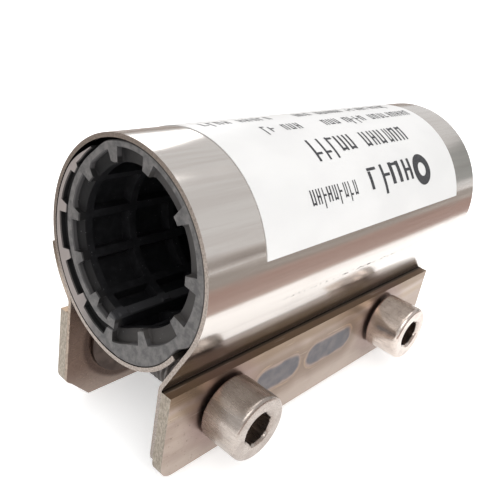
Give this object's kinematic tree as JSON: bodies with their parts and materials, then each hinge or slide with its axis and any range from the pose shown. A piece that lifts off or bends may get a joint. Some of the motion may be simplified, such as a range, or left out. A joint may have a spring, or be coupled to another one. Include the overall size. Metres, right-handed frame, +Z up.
{
  "type": "pipe repair clamp",
  "caption": "Stainless band clamp with a wound ribbed rubber gasket, closed round a leaking pipe by socket screws through two flat bars.",
  "frame": {"origin": "on the pipe's axis, at the middle of the clamp's length", "axes": "X runs along the pipe; +Z is up, away from the bars and screws; the screw heads face -Y and the rear strap is on +Y"},
  "size_m": [0.09, 0.053, 0.059],
  "materials": {
    "band_steel": "bright rolled stainless sheet",
    "strap_steel": "satin, light heat tint",
    "bar_steel": "satin, light heat tint",
    "weld_metal": "heat-tinted weld",
    "screw_steel": "satin",
    "bush_steel": "satin",
    "rubber": "matt, ribbed",
    "label_film": "printed film"
  },
  "bodies": {
    "clamp_body": {"band": "band_steel", "rear_strap": "strap_steel", "rear_bar": "bar_steel", "rear_slot_welds": "weld_metal", "threaded_bush_near": "bush_steel", "threaded_bush_far": "bush_steel", "gasket": "rubber", "label": "label_film"},
    "front_jaw": {"front_bar": "bar_steel", "front_slot_welds": "weld_metal"},
    "screw_near": {"cap_screw_near": "screw_steel"},
    "screw_far": {"cap_screw_far": "screw_steel"}
  },
  "joints": [
    {"name": "clamp_close", "type": "slide", "parent": "clamp_body", "child": "front_jaw", "axis": [0, 1, 0], "range_m": [-0.006, 0.004], "deforming": ["band", "gasket", "label"]},
    {"name": "screw_near_turn", "type": "hinge", "parent": "front_jaw", "child": "screw_near", "pos_m": [-0.0308, -0.0208, -0.02845], "axis": [0, 1, 0], "range_deg": [-1800, 1200]},
    {"name": "screw_far_turn", "type": "hinge", "parent": "front_jaw", "child": "screw_far", "pos_m": [0.0232, -0.0208, -0.02845], "axis": [0, 1, 0], "range_deg": [-1800, 1200]}
  ],
  "couplings": [
    {"joint": "screw_near_turn", "follows": "clamp_close", "rad_per_m": 5026.5},
    {"joint": "screw_far_turn", "follows": "clamp_close", "rad_per_m": 5026.5}
  ]
}
